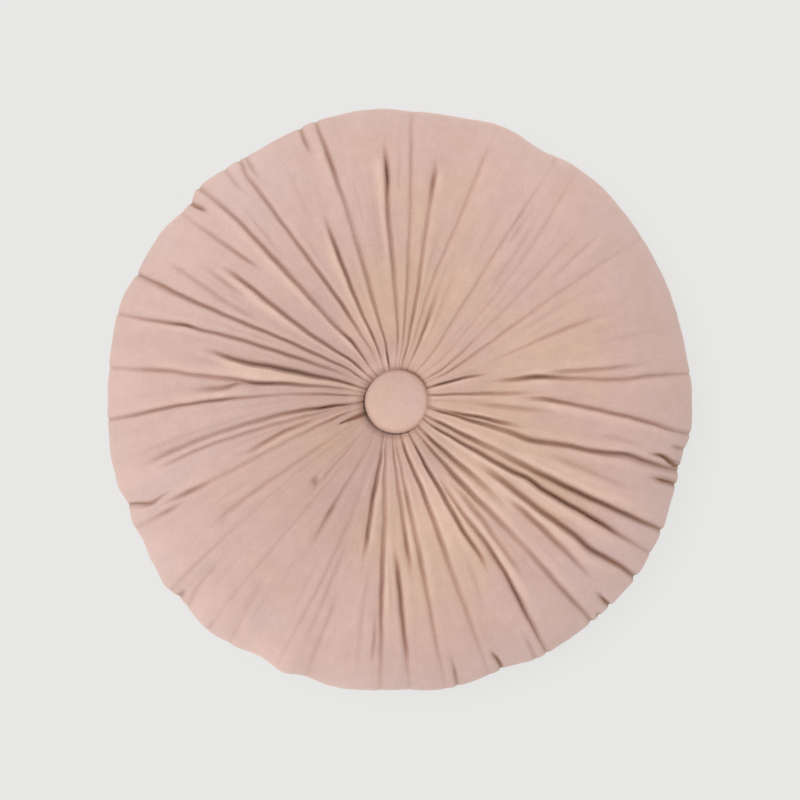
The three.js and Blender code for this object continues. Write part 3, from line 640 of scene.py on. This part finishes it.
def drapeCover(points, held, settings):
    # swells the laid out cover as cloth held along its folds, and gives how far each point moved
    mesh = closedGrid("draping_cover", points)
    thing = placeObject("draping_cover", mesh)
    group = thing.vertex_groups.new(name="held")
    weights = np.ones(len(mesh.vertices))
    weights[:held.size] = held.ravel()
    for i, weight in enumerate(weights):
        group.add([i], float(weight), "REPLACE")
    modifier = thing.modifiers.new("Cloth", "CLOTH")
    cloth = modifier.settings
    cloth.quality = settings["quality"]
    cloth.mass = settings["mass"]
    cloth.tension_stiffness = settings["tension"]
    cloth.compression_stiffness = settings["tension"]
    cloth.shear_stiffness = settings["shear"]
    cloth.bending_stiffness = settings["bending"]
    cloth.vertex_group_mass = "held"
    cloth.pin_stiffness = settings["pinStiffness"]
    cloth.use_pressure = True
    cloth.uniform_pressure_force = settings["pressure"]
    cloth.effector_weights.gravity = 0
    modifier.collision_settings.use_collision = False
    modifier.point_cache.frame_start = 1
    modifier.point_cache.frame_end = settings["frames"]
    scene = bpy.context.scene
    for number in range(1, settings["frames"] + 1):
        scene.frame_set(number)
    shape = thing.evaluated_get(bpy.context.evaluated_depsgraph_get()).data
    moved = np.empty(len(mesh.vertices) * 3, np.float32)
    shape.vertices.foreach_get("co", moved)
    moved = moved.reshape(-1, 3)[:held.size].reshape(points.shape) * metre - points
    far = np.linalg.norm(moved, axis=-1, keepdims=True)
    moved *= np.minimum(1, settings["cap"] / np.maximum(far, 1e-6))
    bpy.data.objects.remove(thing)
    bpy.data.meshes.remove(mesh)
    scene.frame_set(1)
    return moved


def refine(values, steps):
    # spreads rings by columns of the draped mesh to the fine mesh
    rings = np.arange((len(values) - 1) * steps + 1) / steps
    low = np.minimum(rings.astype(int), len(values) - 2)
    part = (rings - low)[:, None, None]
    values = values[low] * (1 - part) + values[low + 1] * part
    columns = np.arange(values.shape[1] * steps) / steps
    low = columns.astype(int)
    part = (columns - low)[None, :, None]
    return values[:, low] * (1 - part) + values[:, (low + 1) % values.shape[1]] * part


# The nodes go into the tree that the sockets they are given belong to
def plug(value, socket):
    if isinstance(value, bpy.types.NodeSocket):
        socket.id_data.links.new(value, socket)
    else:
        socket.default_value = value


def calc(operation, *values):
    tree = next(value.id_data for value in values if isinstance(value, bpy.types.NodeSocket))
    node = tree.nodes.new("ShaderNodeMath")
    node.operation = operation
    for value, socket in zip(values, node.inputs):
        plug(value, socket)
    return node.outputs["Value"]


def times(a, b):
    return calc("MULTIPLY", a, b)


def plus(a, b):
    return calc("ADD", a, b)


def minus(a, b):
    return calc("SUBTRACT", a, b)


def length(x, y):
    return calc("SQRT", plus(times(x, x), times(y, y)))


def noise(vector, scale, detail, seed):
    node = vector.id_data.nodes.new("ShaderNodeTexNoise")
    node.noise_dimensions = "4D"
    for name, value in (("Vector", vector), ("W", seed), ("Scale", scale), ("Detail", detail)):
        plug(value, node.inputs[name])
    return node.outputs[0]


def combine(x, y, z):
    node = x.id_data.nodes.new("ShaderNodeCombineXYZ")
    for value, socket in zip((x, y, z), node.inputs):
        plug(value, socket)
    return node.outputs["Vector"]


def separate(vector):
    node = vector.id_data.nodes.new("ShaderNodeSeparateXYZ")
    plug(vector, node.inputs["Vector"])
    return node.outputs


def scaled(vector, amount):
    node = vector.id_data.nodes.new("ShaderNodeVectorMath")
    node.operation = "SCALE"
    plug(vector, node.inputs["Vector"])
    plug(amount, node.inputs["Scale"])
    return node.outputs["Vector"]


def blend(a, b, share):
    node = share.id_data.nodes.new("ShaderNodeMix")
    node.data_type = "RGBA"
    for value, name in ((share, "Factor_Float"), (a, "A_Color"), (b, "B_Color")):
        socket = next(item for item in node.inputs if item.identifier == name)
        plug((*value, 1) if isinstance(value, tuple) else value, socket)
    return next(item for item in node.outputs if item.identifier == "Result_Color")


def nodeStep(tree, kind, geometry=None, **values):
    # one Geometry Nodes node, with the geometry passed through it
    node = tree.nodes.new("GeometryNode" + kind)
    if geometry is not None:
        plug(geometry, node.inputs[0])
    for name, value in values.items():
        plug(value, node.inputs[name.replace("_", " ")])
    return node


def newTree(name, inputs):
    tree = bpy.data.node_groups.new(name, "GeometryNodeTree")
    tree.interface.new_socket("Geometry", in_out="INPUT", socket_type="NodeSocketGeometry")
    for label, kind in inputs.items():
        tree.interface.new_socket(label, in_out="INPUT", socket_type="NodeSocket" + kind)
    tree.interface.new_socket("Geometry", in_out="OUTPUT", socket_type="NodeSocketGeometry")
    return tree, tree.nodes.new("NodeGroupInput").outputs


def stored(tree, name, kind="FLOAT"):
    # what the laid out mesh keeps at each point under this name
    node = nodeStep(tree, "InputNamedAttribute", Name=name)
    node.data_type = kind
    return node.outputs[0]


def store(tree, geometry, name, value):
    # keeps a number at each point for the finish
    node = nodeStep(tree, "StoreNamedAttribute", geometry, Name=name)
    node.data_type = "FLOAT"
    plug(value, node.inputs["Value"])
    return node.outputs[0]


def endTree(tree, geometry, material):
    made = nodeStep(tree, "RealizeInstances", geometry).outputs[0]
    finished = nodeStep(tree, "SetMaterial", made, Material=material).outputs[0]
    plug(finished, tree.nodes.new("NodeGroupOutput").inputs[0])


def grow(name, tree, values, mesh=None):
    # runs a tree and gives its result as a plain mesh
    thing = placeObject(name + "_growing", mesh or bpy.data.meshes.new(name + "_growing"))
    modifier = thing.modifiers.new("shape", "NODES")
    modifier.node_group = tree
    for socket in tree.interface.items_tree:
        if socket.in_out == "INPUT" and socket.name in values:
            modifier[socket.identifier] = values[socket.name]
    graph = bpy.context.evaluated_depsgraph_get()
    grown = bpy.data.meshes.new_from_object(thing.evaluated_get(graph), depsgraph=graph)
    bpy.data.objects.remove(thing)
    grown.name = name
    return grown


rumples = {
    "Depth": 0.00045,      # rise and fall of the soft rumples in the loose cloth
    "Around": 26.0,        # how many fit round the cushion, and along it
    "Along": 3.2,
    "Seed": 4.0,
}


def rumpleTree():
    # soft rumples that run with the folds
    tree, given = newTree("soft rumples", {**dict.fromkeys(rumples, "Float"), "Material": "Material"})
    x, y, reach = separate(stored(tree, "cloth", "FLOAT_VECTOR"))
    around = given["Around"]
    where = combine(times(x, around), times(y, around), times(reach, given["Along"]))
    wave = minus(noise(where, 0.5, 2.0, given["Seed"]), 0.5)
    loose = times(wave, stored(tree, "loose"))
    rise = times(loose, times(given["Depth"], 4.0))    # the noise swings by about a quarter
    normal = tree.nodes.new("GeometryNodeInputNormal").outputs[0]
    moved = nodeStep(tree, "SetPosition", given["Geometry"], Offset=scaled(normal, rise)).outputs[0]
    # the noise is kept for the painted light and shade on the rumples
    endTree(tree, store(tree, moved, "rumpleShading", wave), given["Material"])
    return tree


coveredButton = {
    "Radius": 0.0218,
    "Thickness": 0.0092,
    "Edge": 0.0036,        # how round its edge is
    "Crown": 0.0011,       # rise of the middle of its face
    "Waver": 0.012,        # unevenness of its outline
    "Tucks": 22.0,         # where the cloth is drawn in underneath
    "Tuck Depth": 0.0009,
    "Painted Side Light": 0.10,           # painted light and shade: how much darker its face is on one side than in the middle, and lighter on the other
    "Turns": 120,
    "Rings": 18,
    "Seed": 2.0,
}


def buttonTree():
    # a cylinder's points, rounded over a button form and drawn in by tucks below
    tree, given = newTree("covered button", {
        **dict.fromkeys(coveredButton, "Float"), "Turns": "Int", "Rings": "Int",
        "Facing": "Float", "Centre": "Vector", "Material": "Material"})
    blank = nodeStep(tree, "MeshCylinder", Vertices=given["Turns"], Side_Segments=12,
                     Fill_Segments=given["Rings"], Radius=given["Radius"], Depth=given["Thickness"])
    blank.fill_type = "TRIANGLE_FAN"
    x, y, z = separate(tree.nodes.new("GeometryNodeInputPosition").outputs[0])
    out = length(x, y)
    half = times(given["Thickness"], 0.5)
    straight = minus(half, given["Edge"])
    insideOut = calc("MINIMUM", out, minus(given["Radius"], given["Edge"]))
    insideUp = calc("MAXIMUM", calc("MINIMUM", z, straight), times(straight, -1.0))
    pastOut, pastUp = minus(out, insideOut), minus(z, insideUp)
    edge = calc("DIVIDE", given["Edge"], length(pastOut, pastUp))
    roundOut = plus(insideOut, times(pastOut, edge))
    roundUp = plus(insideUp, times(pastUp, edge))

    # the crown of its face, the waver of its outline and the tucks underneath
    share = calc("DIVIDE", out, given["Radius"])
    dome = minus(1.0, times(share, share))
    rise = times(times(given["Crown"], dome), calc("GREATER_THAN", z, 0.0))
    bearing = calc("ARCTAN2", y, x)
    cosine, sine = calc("COSINE", bearing), calc("SINE", bearing)
    around = combine(cosine, sine, 0.0)
    waver = minus(noise(around, 1.7, 1.0, given["Seed"]), 0.5)
    wave = calc("COSINE", times(bearing, given["Tucks"]))
    tuck = calc("POWER", times(plus(wave, 1.0), 0.5), 3.0)
    below = calc("MAXIMUM", calc("DIVIDE", roundUp, times(half, -1.0)), 0.0)
    drawnIn = times(times(tuck, below), times(given["Tuck Depth"], share))
    uneven = plus(1.0, times(waver, times(given["Waver"], 4.0)))
    reach = minus(times(roundOut, uneven), drawnIn)

    shaped = combine(times(cosine, reach), times(sine, times(reach, given["Facing"])),
                     times(plus(roundUp, rise), given["Facing"]))
    placed = tree.nodes.new("ShaderNodeVectorMath")
    plug(shaped, placed.inputs[0])
    plug(given["Centre"], placed.inputs[1])
    moved = nodeStep(tree, "SetPosition", blank.outputs["Mesh"], Position=placed.outputs[0]).outputs[0]
    smooth = nodeStep(tree, "SetShadeSmooth", moved).outputs[0]
    # painted light: the lower left side of its face is a little brighter, and the upper right darker
    aside = plus(times(x, -0.3), times(y, -0.95))
    sideLight = calc("DIVIDE", times(aside, given["Painted Side Light"]), given["Radius"])
    endTree(tree, store(tree, smooth, "paintedLightAndShade", sideLight), given["Material"])
    return tree


velvet = {
    "colour": (0.66, 0.447, 0.391),    # the cloth in even light
    "tan": (0.675, 0.458, 0.349),      # the warmer tint of the tan patches
    "cool": (0.66, 0.466, 0.425),      # the cooler tint
    "ridgeHighlight": (0.79, 0.55, 0.45),       # painted highlight along the tops of the folds
    "deep": (0.25, 0.102, 0.041),      # painted shade down in a crease and beside the button
    "clouds": 2.4,                     # how far soft clouds turn the cloth to tan and to cool, with
    "cloudSize": 0.040,                # their size in metres and that of the other patterns
    "mottleSize": 0.010,
    "pileSize": 0.0012,
    "streaksAround": 60.0,             # how fine the streaks are, round the cushion and along it
    "streaksAlong": 9.0,
    "mottle": 0.085,                   # how far each pattern lightens and darkens the cloth
    "pile": 0.12,
    "rumpleShading": 0.13,
    "streak": 0.06,
    "middleShade": 0.045,                     # painted shade: how much darker the pile is about the middle and painted light: how much brighter at the rim
    "rimLight": 0.055,                    # and how much brighter at the rim
    "rimLightFrom": 0.95,                 # the reach that it brightens from, in steps of 100 mm
    "roughness": 0.9,
    "specular": 0.15,
    "sheen": 0.6,
    "sheenRoughness": 0.45,
    "sheenTint": (0.95, 0.78, 0.7),
    "bump": 0.35,
    "bumpDepth": 0.0006,
    "streakBump": 0.8,
}


def setInputs(node, values):
    for name, value in values.items():
        node.inputs[name].default_value = value


def newMaterial(name):
    material = bpy.data.materials.new(name)
    material.use_nodes = True
    return material, material.node_tree.nodes["Principled BSDF"]


def attribute(tree, name, output="Fac"):
    node = tree.nodes.new("ShaderNodeAttribute")
    node.attribute_name = name
    return node.outputs[output]


def makeVelvet(name, settings):
    material, shader = newMaterial(name)
    tree = material.node_tree
    setInputs(shader, {
        "Roughness": settings["roughness"], "Specular IOR Level": settings["specular"],
        "Sheen Weight": settings["sheen"], "Sheen Roughness": settings["sheenRoughness"],
        "Sheen Tint": (*settings["sheenTint"], 1)})

    place = tree.nodes.new("ShaderNodeTexCoord").outputs["Object"]
    cloud = noise(place, 1 / settings["cloudSize"], 3.0, 1.0)
    mottle = noise(place, 1 / settings["mottleSize"], 4.0, 2.0)
    pile = noise(place, 1 / settings["pileSize"], 2.0, 3.0)
    cosine, sine, reach = separate(attribute(tree, "cloth", "Vector"))
    around = settings["streaksAround"]
    lengthwise = combine(times(cosine, around), times(sine, around),
                         times(reach, settings["streaksAlong"]))
    streak = noise(lengthwise, 0.9, 3.0, 4.0)

    # warmer above 0 and cooler below it
    warm = plus(attribute(tree, "tan"), times(minus(cloud, 0.5), settings["clouds"]))
    colour = blend(settings["colour"], settings["tan"], warm)
    colour = blend(colour, settings["cool"], times(warm, -1.0))
    # painted highlight along the tops of the folds
    colour = blend(colour, settings["ridgeHighlight"], attribute(tree, "ridgeHighlight"))
    # painted shade about the middle and painted light at the rim
    outward = calc("MAXIMUM", minus(reach, settings["rimLightFrom"]), 0.0)
    brighter = times(times(outward, outward), settings["middleShade"] + settings["rimLight"])
    light = plus(1 - settings["middleShade"], brighter)
    for pattern, amount in ((mottle, "mottle"), (pile, "pile"), (streak, "streak")):
        light = plus(light, times(minus(pattern, 0.5), settings[amount] * 2))
    # painted light and shade on the rumples: lighter where their noise lifts the cloth, darker where it
    # sinks it
    light = plus(light, times(attribute(tree, "rumpleShading"), settings["rumpleShading"]))
    # painted light and shade from the patches, and across the button's face
    light = plus(light, attribute(tree, "paintedLightAndShade"))
    colour = scaled(colour, light)
    # painted shade in the creases and in the button's shade
    colour = blend(colour, settings["deep"], attribute(tree, "crease"))
    plug(colour, shader.inputs["Base Color"])

    bump = tree.nodes.new("ShaderNodeBump")
    setInputs(bump, {"Strength": settings["bump"], "Distance": settings["bumpDepth"]})
    plug(plus(pile, times(streak, settings["streakBump"])), bump.inputs["Height"])
    plug(bump.outputs["Normal"], shader.inputs["Normal"])
    return material


coverVelvet = makeVelvet("blush velvet", velvet)
buttonVelvet = makeVelvet("button velvet", {**velvet, "colour": (0.645, 0.45, 0.374),
                                           "cloudSize": 0.02, "mottleSize": 0.004, "middleShade": 0})
print("velvet made")

folds = addFaintFolds(addGathers(folds))
print("laying out", len(folds), "folds and gathers")
randomState = randomDraw.bit_generator.state
coarsePoints, coarseFinish, _ = coverPoints(1)
randomDraw.bit_generator.state = randomState
finePoints, fineFinish, clothWay = coverPoints(cover["fineSteps"])

print("draping", coarsePoints.shape[0], "by", coarsePoints.shape[1], "points")
held = np.clip(coarseFinish["crease"] * drape["creaseHold"], 0, 1)
held[coarsePoints[:, :, 2] <= drape["heldHeight"]] = 1
held[np.linalg.norm(coarsePoints[:, :, :2] - buttonAt, axis=-1) < drape["heldBelow"]] = 1
swell = drapeCover(coarsePoints, held, drape)
finePoints += refine(swell, cover["fineSteps"])
finePoints[:, :, 2] = np.maximum(finePoints[:, :, 2], 0)

coverMesh = closedGrid("laid_out_cover", finePoints)
for attributeName, values in fineFinish.items():
    addAttribute(coverMesh, attributeName, values)
addAttribute(coverMesh, "cloth", clothWay)
cushionMesh = grow("velvet_cover", rumpleTree(), {**rumples, "Material": coverVelvet}, coverMesh)
settled = np.empty(len(cushionMesh.vertices) * 3, np.float32)
cushionMesh.vertices.foreach_get("co", settled)
settled[2::3] = np.maximum(settled[2::3], 0)
cushionMesh.vertices.foreach_set("co", settled)
cushion = placeObject("velvet_cover", cushionMesh)
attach(cushion, "root")
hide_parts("cushion")
print("cover has", len(cushionMesh.vertices), "points")

buttons = buttonTree()
for buttonName, node, low, high, facing, shift in (
        ("covered_face_button", "face_button", faceLow, faceHigh, 1.0, cover["buttonShift"]),
        ("covered_back_button", "back_button", backLow, backHigh, -1.0, (0, 0, 0))):
    centre = Vector(((low + high) / 2 + shift) / metre)
    buttonMesh = grow(buttonName, buttons, {**coveredButton, "Facing": facing, "Centre": centre,
                                            "Material": buttonVelvet})
    button = placeObject(buttonName, buttonMesh)
    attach(button, "root")
    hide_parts(node)
    print(buttonName, "has", len(buttonMesh.vertices), "points")

studio = {
    "lens": 120.0,
    "viewWidth": 0.6855 * 800,         # the photo's width, at the rim's height
    "rimHeight": 42.0,
    "imageShift": (0.34, -0.69),       # the photo's middle, from the cushion's middle
    "floorSize": 16.0,
    "floorGap": 0.2,                   # the floor lies this far below the cushion's underside
    "floor": (0.10, 0.10, 0.0987),
    "floorGlow": 0.708,                # it is a lit table, so that the shadow stays faint
    "glowColour": (1, 1, 0.985),
    "world": 0.66,
    "sun": 1.25,
    "sunAngle": 30.0,
    "sunFrom": (-0.36, 0.2, 1.0),
}


def makeCamera(settings):
    camera = bpy.data.cameras.new("camera")
    camera.lens = settings["lens"]
    camera.clip_end = 50
    distance = settings["viewWidth"] * settings["lens"] / camera.sensor_width
    x, y = settings["imageShift"]
    thing = placeObject("camera", camera)
    thing.location = (x / metre, y / metre, (settings["rimHeight"] + distance) / metre)
    bpy.context.scene.camera = thing


def makeFloor(settings):
    half = settings["floorSize"] / 2
    mesh = bpy.data.meshes.new("floor")
    low = -settings["floorGap"] / metre
    corners = [(-half, -half, low), (half, -half, low), (half, half, low), (-half, half, low)]
    mesh.from_pydata(corners, [], [(0, 1, 2, 3)])
    material, shader = newMaterial("pale floor")
    setInputs(shader, {
        "Base Color": (*settings["floor"], 1), "Roughness": 1, "Specular IOR Level": 0,
        "Emission Color": (*settings["glowColour"], 1), "Emission Strength": settings["floorGlow"]})
    mesh.materials.append(material)
    placeObject("floor", mesh)


def makeLight(settings):
    sun = bpy.data.lights.new("soft key", "SUN")
    sun.energy = settings["sun"]
    sun.angle = math.radians(settings["sunAngle"])
    thing = placeObject("soft key", sun)
    thing.rotation_euler = Vector(settings["sunFrom"]).to_track_quat("Z", "Y").to_euler()
    world = bpy.data.worlds.new("studio")
    world.use_nodes = True
    setInputs(world.node_tree.nodes["Background"], {"Color": (1, 1, 1, 1), "Strength": settings["world"]})
    bpy.context.scene.world = world


makeCamera(studio)
makeFloor(studio)
makeLight(studio)
print("camera, floor and light placed")
bpy.context.scene.view_settings.view_transform = "Standard"
